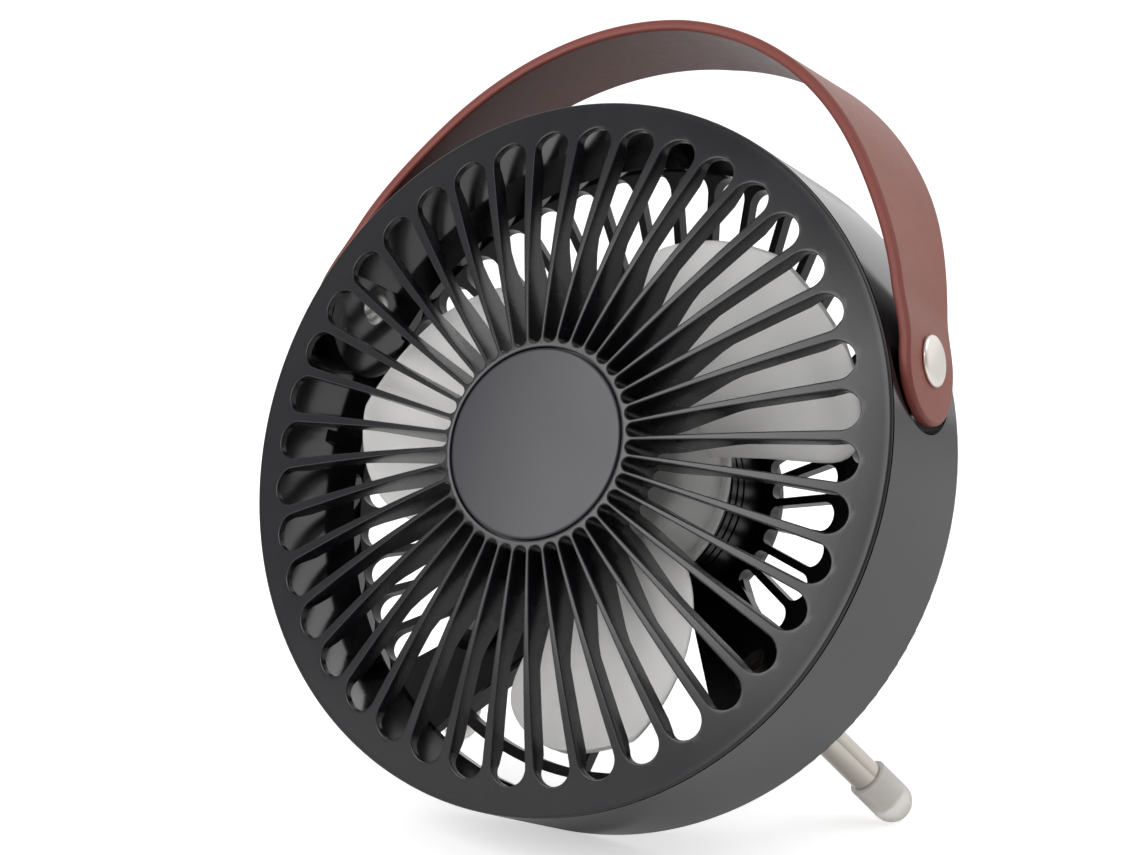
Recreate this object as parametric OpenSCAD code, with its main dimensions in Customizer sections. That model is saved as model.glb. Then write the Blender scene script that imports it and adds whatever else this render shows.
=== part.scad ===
// Portable camping fan: a short round barrel that leans back on two splayed legs, with a
// one-piece radial front grille, a conical rear cover, a three-blade impeller on an
// outer-rotor motor, and a carrying strap that swings on two rivets.
//
// Every piece is drawn in the fan's own frame: X to the fan's right as seen from the front,
// Y up in the plane of the fan, Z forward along the fan's axis, zero at the seam between
// front grille and barrel. fan_frame() then leans that frame back and stands it on the floor.

/* [Body] */
// Outside diameter of the barrel
body_d = 170; // [160:1:190]
// Length of the barrel along the fan's axis
barrel_len = 37; // [34:0.5:46]
// Wall thickness of the barrel
barrel_wall = 2.6; // [2:0.1:3.2]
// Radius of the barrel's rear edge
rear_edge = 1.5; // [0.6:0.1:2]
// Angle by which the fan leans back
lean = 22; // [12:1:30]
// Width of the dark joint between front grille and barrel
seam = 0.4; // [0.2:0.1:0.8]

/* [Front grille] */
// Number of ribs in the front grille
rib_count = 40; // [30:1:48]
// Height of the rounded rim in front of the seam
rim_h = 4.5; // [3.5:0.1:6]
// Radius of the rim's rounded crest
rim_bead = 3.4; // [2.5:0.1:3.5]
// Distance from the outside of the body to the slots
rim_to_slot = 4.3; // [4:0.1:8]
// Radius of the hub that carries the ribs
hub_r = 24.4; // [20:0.2:28]
// Height of the hub's face in front of the seam
hub_h = 11.6; // [8:0.1:16]
// Height of the ribs in front of the seam where they meet the rim
dome_edge = 3.4; // [2.6:0.1:4]
// Depth of the ribs
rib_depth = 5; // [3:0.1:6]
// Radius of a slot's wide outer end
slot_outer_r = 4.15; // [3:0.05:4.4]
// Radius of a slot's narrow inner end
slot_inner_r = 1.1; // [0.8:0.05:1.4]
// Radius of the blank inset disc
disc_r = 21.6; // [16:0.2:22]
// Thickness of the blank inset disc
disc_t = 1.6; // [1:0.1:2.5]

/* [Rear cover] */
// Number of ribs in the outer row of slots
rear_outer_count = 44; // [32:4:48]
// Number of ribs in the inner row of slots
rear_inner_count = 32; // [24:4:36]
// Slope of the cone, as its rise for each unit of radius
cone_slope = 0.45; // [0.3:0.01:0.5]
// Wall thickness of the rear cover along the fan's axis
cover_t = 3.6; // [2.4:0.1:4.5]
// Length of the slots in the outer row
outer_row_len = 23.6; // [20:0.2:24]
// Width of the ring between the two rows of slots
row_gap = 5; // [4:0.2:8]
// Width of the seat around the housing, inside the inner row of slots
housing_seat = 2.9; // [2.6:0.1:3.4]
// Half angle of the open sector at the bottom
window_half = 31; // [24:1:33]
// Distance from the outer row's end in to the thin ring across the open sector
window_inset = 6.6; // [5.6:0.2:12]
// Width of the thin ring and of the bottom rib
window_bar = 2.4; // [1.8:0.1:4]
// Width of an arm that carries a leg
arm_w = 16; // [14:0.5:20]
// Height of an arm behind the cone
arm_h = 6; // [4:0.5:9]

/* [Motor] */
// Outside radius of the housing behind the impeller
housing_r = 24.5; // [24:0.1:25]
// Wall of the housing
housing_wall = 2; // [1.6:0.1:2.4]
// Distance from the seam to the front of the housing
housing_front = 33; // [33:0.2:35]
// Radius of the motor shaft
shaft_r = 1.5; // [1:0.1:2]
// Outside radius of the tube that holds the bearings
tube_r = 4.6; // [4.4:0.1:5.5]
// Outside radius of the stator
stator_r = 20.4; // [18:0.1:20.6]
// Thickness of the ring magnet
magnet_t = 2.2; // [1.5:0.1:2.6]
// Wall of the rotor can
can_t = 1; // [0.8:0.1:1.4]

/* [Impeller] */
// Distance from the barrel's bore in to the blade tips
tip_gap = 12.4; // [9:0.1:20]
// Outside radius of the hub cup
cup_r = 28; // [27.5:0.1:29]
// Wall of the hub cup
cup_wall = 2; // [1.5:0.1:2.2]
// Distance from the seam to the front of the hub cup
cup_front = 12; // [10:0.5:13]
// Length of the hub cup
cup_len = 18.6; // [17.6:0.2:19]
// Number of blades
blade_count = 3; // [3:1:5]
// Pitch of the blades at mid radius
blade_pitch = 15; // [10:1:17]
// Thickness of a blade
blade_t = 1.6; // [1.2:0.1:2.4]
// Angle that a blade spans, seen from the front
blade_span = 68; // [56:1:70]
// Radius to which a blade is bent
camber_r = 110; // [90:5:160]

/* [Handle] */
// Width of the strap
strap_w = 27; // [20:0.5:28]
// Thickness of the strap
strap_t = 2.8; // [2:0.1:3.5]
// Height of the rivets above the fan's axis
pivot_y = 33.5; // [32:0.5:38]
// Distance from the seam back to the rivets
pivot_z = 17; // [16.5:0.5:18]
// Distance from the rivets up to the underside of the strap
strap_rise = 77.9; // [70:0.1:80]
// Height above the rivets at which the strap begins to bend
strap_straight = 4; // [3.6:0.1:8]
// Radius of the strap's first bend above a rivet
bend_r = 22; // [16:0.5:30]
// Angle of the first bend
bend_a = 12.5; // [8:0.5:16]
// Angle at which the strap's shoulder gives way to its flatter top
shoulder_a = 43; // [38:0.5:50]
// Angle by which the strap leans back from the fan's plane
strap_lean = 5; // [0:1:12]
// Radius of a rivet's outer head
rivet_head = 6; // [5:0.1:7]
// Radius of a rivet's shank
rivet_r = 2.5; // [2:0.1:3]

/* [Legs] */
// Outside radius of a leg tube
leg_r = 4; // [3:0.1:4.5]
// Wall of a leg tube
leg_wall = 0.8; // [0.6:0.1:1.2]
// Distance from the outer row's end in to the root of a leg
leg_inset = 18.3; // [16.5:0.1:19.5]
// Angle below horizontal of the root of a leg
leg_root_angle = 44.2; // [43:0.1:46]
// Angle below horizontal in which a leg points, seen from the front
leg_aim = 45.7; // [44:0.1:47]
// Angle by which a leg points back from the fan's plane
leg_back = 48.9; // [44:0.1:54]
// Outside radius of a foot
foot_r = 5.1; // [4.6:0.1:6]
// Length of a foot's straight part
foot_len = 9; // [7:0.5:12]

/* [Controls] */
// Radius of the power button
button_r = 5; // [4:0.1:6]
// Travel of the power button
button_travel = 1.2; // [0.8:0.1:1.6]
// Height of the button above the lid
button_proud = 1.6; // [1.4:0.1:2.2]
// Distance from the circuit board's edge in to the middle of the button
button_inset = 8.9; // [8.5:0.1:9.5]
// Width of the charging socket
socket_w = 9.4; // [8:0.1:10]
// Height of the charging socket
socket_h = 3.6; // [3:0.1:4]
// Distance from the circuit board's edge in to the middle of the charging socket
socket_inset = 8.5; // [6.5:0.1:9.5]

/* [Fits] */
// Radial clearance of parts that turn or slide in a bore
running_fit = 0.06; // [0.03:0.01:0.1]
// Gap between parts that are pushed together
snug_fit = 0.1; // [0.05:0.01:0.2]
// Gap beside the strap at its rivets
strap_gap = 0.25; // [0.15:0.05:0.4]
// Depth by which a soft foot is pressed flat on the floor
foot_flat = 0.3; // [0.1:0.05:0.5]

/* [Hidden] */

$fn = 96;
eps = 0.05;
tuck = 0.01;
big = 400;
dome_fn = 360;

// Body
body_r = body_d / 2;
bore_r = body_r - barrel_wall;
ledge_t = 3;
ledge_w = 4.4;
flange_t = 3;
flange_z = -barrel_len + flange_t;
ledge_z = flange_z + snug_fit;

// Height of the fan frame's origin above the floor, and the middle of the footprint
axis_h = (body_r - rear_edge) * cos(lean) + (barrel_len - rear_edge) * sin(lean) + rear_edge;
front_y = -(body_r - rim_bead) * sin(lean) - (rim_h - rim_bead) * cos(lean) - rim_bead;
strap_top = strap_rise + strap_t;
strap_back_y = pivot_y + strap_top * cos(strap_lean) - strap_w / 2 * sin(strap_lean);
strap_back_z = pivot_z + strap_top * sin(strap_lean) + strap_w / 2 * cos(strap_lean);
back_y = strap_back_y * sin(lean) + strap_back_z * cos(lean);
mid_y = (front_y + back_y) / 2;

// Front grille
slot_end = body_r - rim_to_slot;
dome_drop = 0.3;
dome_top = hub_h - dome_drop;
rim_r = body_r - rim_bead;
dome_c = (hub_r * hub_r + dome_top * dome_top - rim_r * rim_r - dome_edge * dome_edge)
  / (2 * (dome_top - dome_edge));
dome_r = sqrt(hub_r * hub_r + (dome_top - dome_c) * (dome_top - dome_c));
hub_depth = rib_depth + 1;
hub_wall = 3;
skirt_t = 1.3;
skirt_h = 5;
lug_half = 7;
LUG_ANGLES = [60, 90, 120, 195, 232, 270, 308, 345];
slot_start = hub_r + 0.5;
hub_floor = 2.2;

// Rear cover: angles past an arm at which the rows of slots begin, and the height of the
// cone's front face at a radius
outer_keep = 10.5;
inner_keep = 17;
outer_row_end = bore_r - ledge_w;
outer_row_start = outer_row_end - outer_row_len;
inner_row_end = outer_row_start - row_gap;
inner_row_start = housing_r + housing_seat;
window_ring = outer_row_end - window_inset;
cone_edge = outer_row_end + 0.3;
function cone_z(r) = flange_z - cone_slope * (cone_edge - r);
seat_r = inner_row_start - 0.3;
flange_r = bore_r - snug_fit;
screw_pcd = (outer_row_end + bore_r) / 2;
COVER_SCREW_ANGLES = [0, 90, 180, 222, 318];
rear_rib_end = 1.9;
rear_rib_start = 1.7;
gusset_h = 9;
gusset_t = 3;

// Housing
cup_mouth = cup_front + cup_len;
housing_in = housing_r - housing_wall;
housing_rear = -cone_z(seat_r) + cover_t;
housing_front_t = 2.4;
housing_flange_r = inner_row_start - 0.6;
housing_flange_t = 1.6;
lid_t = 2;
lid_z = housing_rear + housing_flange_t;
lid_boss_r = 2.6;
lid_boss_len = 12;
pilot_r = 0.9;
pilot_len = 7;
groove_w = 1;
groove_depth = 0.5;
groove_pitch = 3.2;
lid_boss_pcd = housing_in - lid_boss_r + 0.6;
LID_SCREW_ANGLES = [30, 150, 270];

// Motor
bearing_len = 5;
bearing_r = shaft_r + 1.6;
tube_front = cup_front + 6;
tube_rear = housing_front + housing_front_t + 4;
magnet_out = stator_r + 0.8 + magnet_t;
can_out = magnet_out + can_t;
can_front = cup_front + cup_wall + 0.6;
can_len = 13.4;
stator_front = can_front + can_t + 2.4;
stator_len = 8;
pole_count = 4;
tooth_w = 4;
tip_t = 2.2;
coil_w = 12;
coil_over = 1.6;
yoke_r = tube_r + 3;
shaft_rear = tube_rear + 2.6;
clip_t = 0.6;
clip_z = shaft_rear - 1.8;
clip_r = shaft_r + 1.8;
clip_mouth = 2.2;
shaft_groove = 0.4;
nut_r = 4.2;
nut_base = 0.9;
nut_cap_r = 2.8;
nut_h = 2.6;

// Impeller
tip_r = bore_r - tip_gap;
lip_w = 1.6;
lip_h = 2;
cup_boss_r = 4.6;
cup_boss_len = 0.55;
blade_root = 1.2;

// Controls
board_t = 1.4;
board_r = lid_boss_pcd - lid_boss_r - 0.4;
board_gap = 7;
board_z = lid_z - board_gap;
button_y = board_r - button_inset;
socket_y = board_r - socket_inset;
socket_wall = 0.35;
socket_tail = 0.5;
socket_recess = 0.3;
switch_h = 2.4;
button_flange_r = button_r + 1.2;
button_flange_t = 1;
spring_wire = 0.5;
spring_r = button_r + 0.5;
battery_w = 24;
battery_h = 17;
battery_t = 8;

// Handle
pocket_x = sqrt(body_r * body_r - pivot_y * pivot_y) - 0.1;
pocket_r = strap_w / 2 + 2.5;
pad_r = pocket_r + 2.2;
cap_r = 5;
pad_x = sqrt(bore_r * bore_r - (pivot_y + cap_r) * (pivot_y + cap_r)) - 0.1;
washer_t = 0.4;
washer_r = 4.5;
strap_x = pocket_x + washer_t + strap_gap;
head_x = strap_x + strap_t + strap_gap;
head_t = 1.7;
cap_h = 2.6;
cap_ball = 5.75;

// Radii of the strap's shoulder and top, from its reach and rise above the first bend
reach_x = strap_x - bend_r * (1 - cos(bend_a));
reach_y = strap_rise - strap_straight - bend_r * sin(bend_a);
arc_det = (cos(bend_a) - cos(shoulder_a)) * (1 - sin(shoulder_a))
  - cos(shoulder_a) * (sin(shoulder_a) - sin(bend_a));
side_r = (reach_x * (1 - sin(shoulder_a)) - reach_y * cos(shoulder_a)) / arc_det;
top_r = (reach_y * (cos(bend_a) - cos(shoulder_a)) - reach_x * (sin(shoulder_a) - sin(bend_a)))
  / arc_det;
arch_step = 2.5;
bend_c = [strap_x - bend_r, strap_straight];
side_c = bend_c + (bend_r - side_r) * [cos(bend_a), sin(bend_a)];

// Legs: direction, and length down to the floor
leg_dir = [cos(leg_back) * cos(leg_aim), -cos(leg_back) * sin(leg_aim), -sin(leg_back)];
leg_root_r = outer_row_end - leg_inset;
leg_root_z = cover_t - cone_z(leg_root_r);
leg_root = [
  leg_root_r * cos(leg_root_angle), -leg_root_r * sin(leg_root_angle), -leg_root_z
];
function floor_height(p) = axis_h + p[1] * cos(lean) + p[2] * sin(lean);
leg_drop = -(leg_dir[1] * cos(lean) + leg_dir[2] * sin(lean));
leg_len = (floor_height(leg_root) - foot_r + foot_flat) / leg_drop;
leg_sunk = 8;
collar_r = leg_r + 2.6;
collar_len = 13;
arm_angle = 52;
arm_start = inner_row_start;
arm_end = outer_row_end + 1;
leg_screw_r = 1.25;
leg_screw_z = 3;
leg_screw_len = collar_r - leg_r;

// Screws
screw_r = 0.85;
screw_hole_r = 1.3;
screw_head_h = 1;
cover_head_r = 1.8;
cover_screw_len = 4.4;
lid_head_r = 2.1;
lid_screw_len = 6;

// --- Frames -------------------------------------------------------------------------

// Leans the fan back and stands it on the floor
module fan_frame() {
  translate([0, -mid_y, axis_h])
    rotate([90 - lean, 0, 0])
      children();
}

// Copies a piece to the fan's right, or mirrors it to the left
module side(right) {
  if (right)
    children();
  else
    mirror([1, 0, 0]) children();
}

// A frame on the right-hand rivet's axis, with its Z along +X
module rivet_frame() {
  translate([0, pivot_y, -pivot_z])
    rotate([0, 90, 0])
      children();
}

// A frame at the right-hand leg's root, with its Z along the leg
module leg_frame() {
  translate(leg_root)
    rotate([0, 0, -leg_aim])
      rotate([0, 90 + leg_back, 0])
        children();
}

// A ring around the fan's axis between two radii, from z0 back to z1
module ring(r_out, r_in, z0, z1) {
  translate([0, 0, -z1])
    difference() {
      cylinder(r = r_out, h = z1 - z0);
      translate([0, 0, -eps]) cylinder(r = r_in, h = z1 - z0 + 2 * eps);
    }
}

// Outline of a tapered slot along +X, with round ends that touch r0 and r1
module slot_outline(r0, r1, end0, end1) {
  c0 = r0 + end0;
  c1 = r1 - end1;
  tilt = asin((end1 - end0) / (c1 - c0));
  y0 = end0 * cos(tilt) - tuck;
  y1 = end1 * cos(tilt) - tuck;
  translate([c0, 0]) circle(r = end0, $fn = 32);
  translate([c1, 0]) circle(r = end1, $fn = 48);
  polygon([
    [c0 - end0 * sin(tilt), y0],
    [c0 - end0 * sin(tilt), -y0],
    [c1 - end1 * sin(tilt), -y1],
    [c1 - end1 * sin(tilt), y1]
  ]);
}

// --- Front grille -------------------------------------------------------------------

// Half section of the ribs' dome, one rib depth thick
module dome_section() {
  intersection() {
    difference() {
      translate([0, dome_c]) circle(r = dome_r, $fn = dome_fn);
      translate([0, dome_c - rib_depth]) circle(r = dome_r, $fn = dome_fn);
    }
    translate([hub_r - 1, -rib_depth]) square([rim_r - hub_r + 1, hub_h + big]);
  }
}

// Half section of the rounded rim
module rim_section() {
  translate([rim_r, rim_h - rim_bead]) circle(r = rim_bead, $fn = 64);
  translate([body_r - 2 * rim_bead, seam / 2])
    square([2 * rim_bead, rim_h - rim_bead - seam / 2]);
}

module front_grille() {
  color("#26272b")
    fan_frame() {
      difference() {
        rotate_extrude($fn = 180) {
          difference() {
            union() {
              dome_section();
              rim_section();
            }
            translate([0, -big]) square([body_r + 1, big + seam / 2]);
          }
        }
        for (i = [0:rib_count - 1])
          rotate([0, 0, (i + 0.5) * 360 / rib_count + 90])
            translate([0, 0, -rib_depth])
              linear_extrude(height = hub_h + 2 * rib_depth)
                slot_outline(slot_start, slot_end, slot_inner_r, slot_outer_r);
      }
      difference() {
        translate([0, 0, hub_h - hub_depth]) cylinder(r = hub_r, h = hub_depth);
        translate([0, 0, hub_h - disc_t]) cylinder(r = disc_r + snug_fit, h = disc_t + 1);
        translate([0, 0, hub_h - hub_depth - 1])
          cylinder(r = hub_r - hub_wall, h = hub_depth + 1 - disc_t - hub_floor);
      }
      for (a = LUG_ANGLES)
        rotate([0, 0, a - lug_half])
          rotate_extrude(angle = 2 * lug_half)
            translate([bore_r - snug_fit - skirt_t, -skirt_h])
              square([skirt_t, skirt_h + 1]);
    }
}

module hub_disc() {
  color("#2c2d32")
    fan_frame()
      translate([0, 0, hub_h - disc_t])
        cylinder(r = disc_r, h = disc_t);
}

// --- Barrel -------------------------------------------------------------------------

// Half section of the barrel with its rounded rear edge and the ledge for the rear cover
module barrel_section() {
  difference() {
    union() {
      translate([bore_r, -barrel_len + rear_edge])
        square([barrel_wall, barrel_len - rear_edge - seam / 2]);
      translate([bore_r, -barrel_len]) square([barrel_wall - rear_edge, barrel_len / 2]);
      translate([body_r - rear_edge, -barrel_len + rear_edge]) circle(r = rear_edge, $fn = 48);
    }
    translate([bore_r - barrel_wall, -barrel_len - 1]) square([barrel_wall, barrel_len]);
  }
  translate([bore_r - ledge_w, ledge_z]) square([ledge_w + 1, ledge_t]);
}

// Triangular gusset under the ledge at a screw
module gusset() {
  rotate([90, 0, 0])
    translate([0, 0, -gusset_t / 2])
      linear_extrude(height = gusset_t)
        polygon([
          [bore_r - ledge_w, ledge_z + ledge_t - 1],
          [bore_r + 1, ledge_z + ledge_t - 1],
          [bore_r + 1, ledge_z + ledge_t + gusset_h],
          [bore_r - 0.5, ledge_z + ledge_t + gusset_h]
        ]);
}

module barrel() {
  color("#2a2a2e")
    fan_frame()
      difference() {
        union() {
          rotate_extrude($fn = 180) barrel_section();
          for (a = COVER_SCREW_ANGLES)
            rotate([0, 0, a]) gusset();
          intersection() {
            translate([0, 0, -barrel_len + flange_t + snug_fit])
              cylinder(r = body_r - 0.8, h = barrel_len - flange_t - snug_fit - seam / 2, $fn = 180);
            for (s = [false, true])
              side(s)
                rivet_frame()
                  translate([0, 0, pad_x])
                    cylinder(r = pad_r, h = body_r - pad_x);
          }
        }
        for (s = [false, true])
          side(s)
            rivet_frame() {
              translate([0, 0, pocket_x]) cylinder(r = pocket_r, h = body_r);
              translate([0, 0, pad_x - 1]) cylinder(r = rivet_r + snug_fit / 2, h = body_r);
            }
        for (a = COVER_SCREW_ANGLES)
          rotate([0, 0, a])
            translate([screw_pcd, 0, ledge_z - 1])
              cylinder(r = pilot_r, h = ledge_t + 1);
      }
}

// --- Rear cover ---------------------------------------------------------------------

// Half section of the cone, from the housing out to its flange
module cover_section() {
  r0 = housing_r + snug_fit;
  polygon([
    [r0, cone_z(r0)],
    [cone_edge, flange_z],
    [flange_r, flange_z],
    [flange_r, flange_z - flange_t],
    [cone_edge + (cover_t - flange_t) / cone_slope, flange_z - flange_t],
    [seat_r, -housing_rear],
    [r0, -housing_rear]
  ]);
}

// One row of radial slots, leaving out those nearer to the bottom than an angle
module slot_row(count, r0, r1, end0, end1, keep) {
  for (i = [0:count - 1]) {
    a = i * 360 / count;
    if (a > keep && a < 360 - keep)
      rotate([0, 0, a - 90])
        translate([0, 0, -big / 2])
          linear_extrude(height = big)
            slot_outline(r0, r1, end0, end1);
  }
}

// Open windows of the bottom sector, one on each side of the bottom rib
module windows() {
  for (s = [false, true])
    side(s)
      translate([0, 0, -big / 2])
        linear_extrude(height = big)
          difference() {
            intersection() {
              difference() {
                circle(r = cone_edge + 1);
                circle(r = inner_row_start + 3);
              }
              polygon([
                [0, 0],
                [big * tan(window_half), -big],
                [0, -big]
              ]);
            }
            translate([-big, -big]) square([big + window_bar / 2, 2 * big]);
            difference() {
              circle(r = window_ring + window_bar / 2);
              circle(r = window_ring - window_bar / 2);
            }
          }
}

// Thick radial arm and collar that hold the right-hand leg
module leg_arm() {
  rotate([0, 0, -arm_angle])
    rotate([90, 0, 0])
      translate([0, 0, -arm_w / 2])
        linear_extrude(height = arm_w)
          polygon([
            [arm_start, cone_z(arm_start) - 0.5],
            [arm_end, cone_z(arm_end) - 0.5],
            [arm_end, cone_z(arm_end) - cover_t],
            [arm_end - arm_h, cone_z(arm_end - arm_h) - cover_t - arm_h],
            [arm_start, cone_z(arm_start) - cover_t - 0.5]
          ]);
  leg_frame()
    translate([0, 0, -collar_len / 2])
      cylinder(r = collar_r, h = collar_len);
}

module rear_cover() {
  color("#1d1d20")
    fan_frame()
      difference() {
        union() {
          difference() {
            rotate_extrude($fn = 144) cover_section();
            slot_row(
              rear_outer_count, outer_row_start, outer_row_end,
              PI * (outer_row_start + 2) / rear_outer_count - rear_rib_start / 2,
              PI * (outer_row_end - 4) / rear_outer_count - rear_rib_end / 2,
              90 - arm_angle + outer_keep
            );
            slot_row(
              rear_inner_count, inner_row_start, inner_row_end,
              PI * (inner_row_start + 1) / rear_inner_count - rear_rib_start / 2,
              PI * (inner_row_end - 4) / rear_inner_count - rear_rib_end / 2,
              90 - arm_angle + inner_keep
            );
            windows();
          }
          for (s = [false, true])
            side(s) leg_arm();
        }
        for (s = [false, true])
          side(s)
            leg_frame() {
              translate([0, 0, -big / 4]) cylinder(r = leg_r + running_fit, h = big / 2);
              translate([0, 0, leg_screw_z])
                rotate([0, 90, 0])
                  cylinder(r = leg_screw_r + 0.05, h = big / 4, $fn = 32);
            }
        for (a = COVER_SCREW_ANGLES)
          rotate([0, 0, a])
            translate([screw_pcd, 0, flange_z - flange_t - 1]) {
              cylinder(r = screw_hole_r, h = flange_t + 2);
              cylinder(r = cover_head_r + snug_fit, h = screw_head_h + 1);
            }
      }
}

// --- Housing ------------------------------------------------------------------------

module motor_housing() {
  color("#18181a")
    fan_frame() {
      difference() {
        union() {
          ring(housing_r, housing_in, housing_front, lid_z);
          ring(housing_r - eps, tube_r + snug_fit, housing_front, housing_front + housing_front_t);
          ring(housing_flange_r, housing_r - 1, housing_rear, lid_z);
        }
        for (i = [0:3])
          ring(
            housing_r + 1, housing_r - groove_depth,
            housing_front + groove_pitch * (i + 1.25),
            housing_front + groove_pitch * (i + 1.25) + groove_w
          );
      }
      for (a = LID_SCREW_ANGLES)
        rotate([0, 0, a])
          translate([lid_boss_pcd, 0, -lid_z])
            difference() {
              cylinder(r = lid_boss_r, h = lid_boss_len, $fn = 32);
              translate([0, 0, -1]) cylinder(r = pilot_r, h = pilot_len + 1, $fn = 24);
            }
    }
}

module housing_lid() {
  color("#1d1d20")
    fan_frame()
      difference() {
        translate([0, 0, -lid_z - lid_t]) cylinder(r = housing_flange_r, h = lid_t);
        translate([0, button_y, -lid_z - lid_t - 1])
          cylinder(r = button_r + running_fit, h = lid_t + 2);
        translate([0, -socket_y, -lid_z - lid_t - 1]) socket_prism(snug_fit, lid_t + 2);
        for (a = LID_SCREW_ANGLES)
          rotate([0, 0, a])
            translate([lid_boss_pcd, 0, -lid_z - lid_t - 1]) {
              cylinder(r = screw_hole_r, h = lid_t + 2, $fn = 32);
              cylinder(r = lid_head_r + snug_fit, h = screw_head_h + 1, $fn = 32);
            }
      }
}

// --- Motor --------------------------------------------------------------------------

module bearing_tube() {
  color("#c8c6bf")
    fan_frame() {
      ring(tube_r, bearing_r + snug_fit, tube_front, tube_rear);
      ring(
        housing_in - 6, tube_r - 0.5,
        housing_front + housing_front_t, housing_front + housing_front_t + 1.5
      );
    }
}

module front_bearing() {
  color("#a8793d")
    fan_frame()
      ring(bearing_r, shaft_r + running_fit, tube_front, tube_front + bearing_len);
}

module rear_bearing() {
  color("#a8793d")
    fan_frame()
      ring(bearing_r, shaft_r + running_fit, tube_rear - bearing_len, tube_rear);
}

// Laminated core with a yoke and one T-shaped tooth for each pole
module stator_core() {
  tip_half = atan(0.7);
  color("#7b7d80")
    fan_frame()
      translate([0, 0, -stator_front - stator_len])
        linear_extrude(height = stator_len)
          difference() {
            union() {
              circle(r = yoke_r);
              for (i = [0:pole_count - 1])
                rotate([0, 0, (i + 0.5) * 360 / pole_count])
                  translate([0, -tooth_w / 2]) square([stator_r - tip_t / 2, tooth_w]);
              intersection() {
                difference() {
                  circle(r = stator_r);
                  circle(r = stator_r - tip_t);
                }
                for (i = [0:pole_count - 1])
                  rotate([0, 0, (i + 0.5) * 360 / pole_count])
                    polygon([[0, 0], [big, -big * tan(tip_half)], [big, big * tan(tip_half)]]);
              }
            }
            circle(r = tube_r + snug_fit);
          }
}

// Coils wound around the teeth
module stator_windings() {
  coil_in = yoke_r + 1;
  coil_edge = stator_r - tip_t - 0.3;
  coil_out = sqrt(coil_edge * coil_edge - coil_w * coil_w / 4);
  color("#b2622e")
    fan_frame()
      for (i = [0:pole_count - 1])
        rotate([0, 0, (i + 0.5) * 360 / pole_count])
          difference() {
            translate([coil_in, -coil_w / 2, -stator_front - stator_len - coil_over])
              cube([coil_out - coil_in, coil_w, stator_len + 2 * coil_over]);
            translate([coil_in - 1, -tooth_w / 2 - snug_fit, -stator_front - stator_len - snug_fit])
              cube([coil_out - coil_in + 2, tooth_w + 2 * snug_fit, stator_len + 2 * snug_fit]);
          }
}

module rotor_can() {
  color("#b9bcc0")
    fan_frame() {
      ring(can_out, magnet_out, can_front, can_front + can_len);
      ring(can_out - eps, shaft_r + 2, can_front, can_front + can_t);
    }
}

module ring_magnet() {
  color("#3b3b3d")
    fan_frame()
      ring(
        magnet_out - snug_fit / 2, magnet_out - magnet_t,
        can_front + can_t, can_front + can_len - 0.6
      );
}

module motor_shaft() {
  color("#d0d3d6")
    fan_frame()
      difference() {
        translate([0, 0, -shaft_rear])
          cylinder(r = shaft_r, h = shaft_rear - cup_front + 0.5);
        ring(shaft_r + 1, shaft_r - shaft_groove, clip_z, clip_z + clip_t);
      }
}

module hub_nut() {
  color("#9fa1a4")
    fan_frame()
      translate([0, 0, -cup_front])
        difference() {
          union() {
            cylinder(r = nut_r, h = nut_base);
            cylinder(r = nut_cap_r, h = nut_h);
          }
          translate([0, 0, -1]) cylinder(r = shaft_r + snug_fit, h = 1.6);
        }
}

module shaft_clip() {
  color("#8e9092")
    fan_frame()
      difference() {
        ring(clip_r, shaft_r - shaft_groove + snug_fit, clip_z + eps, clip_z + clip_t - eps);
        translate([0, -clip_mouth / 2, -clip_z - clip_t - 1])
          cube([clip_r + 1, clip_mouth, clip_t + 2]);
      }
}

// --- Impeller -----------------------------------------------------------------------

// Half angle of a blade's leading and trailing edges at a fraction t of its length
function lead_half(t) = blade_span / 2 * (0.86 + 0.14 * t) * (1 - 0.42 * pow(t, 9));
function trail_half(t) = blade_span / 2 * (0.86 + 0.14 * t) * (1 - 0.62 * pow(t, 6));

module blade_outline() {
  r0 = cup_r - blade_root;
  steps = 14;
  polygon(concat(
    [for (i = [0:steps])
      let (t = i / steps, r = r0 + (tip_r - r0) * t, a = lead_half(t))
        [r * cos(a), r * sin(a)]],
    [for (i = [1:steps - 1])
      let (a = lead_half(1) - (lead_half(1) + trail_half(1)) * i / steps)
        [tip_r * cos(a), tip_r * sin(a)]],
    [for (i = [steps:-1:0])
      let (t = i / steps, r = r0 + (tip_r - r0) * t, a = trail_half(t))
        [r * cos(a), -r * sin(a)]]
  ));
}

// A blade along +X: the outline cut from a pitched, slightly hollow sheet
module blade() {
  mid_z = -(cup_front + cup_len / 2) + 0.6;
  intersection() {
    translate([0, 0, -big / 2]) linear_extrude(height = big) blade_outline();
    translate([0, 0, mid_z])
      rotate([blade_pitch, 0, 0])
        translate([0, 0, -camber_r])
          rotate([0, 90, 0])
            difference() {
              cylinder(r = camber_r + blade_t / 2, h = body_d, $fn = 240);
              translate([0, 0, -1])
                cylinder(r = camber_r - blade_t / 2, h = body_d + 2, $fn = 240);
            }
  }
}

module impeller() {
  color("#dfe3e6")
    fan_frame() {
      ring(cup_r, can_out + snug_fit, cup_front + 1, cup_mouth);
      ring(cup_r - eps, shaft_r + running_fit, cup_front, cup_front + cup_wall);
      ring(cup_r + lip_w, can_out + 0.6, cup_mouth - lip_h, cup_mouth);
      ring(
        cup_boss_r, shaft_r + running_fit,
        cup_front + cup_wall - 0.5, cup_front + cup_wall + cup_boss_len
      );
      difference() {
        for (i = [0:blade_count - 1])
          rotate([0, 0, 42 + i * 360 / blade_count]) blade();
        translate([0, 0, -cup_front - big / 2]) cylinder(r = cup_r - blade_root * 2 / 3, h = big);
      }
    }
}

// --- Controls -----------------------------------------------------------------------

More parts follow.
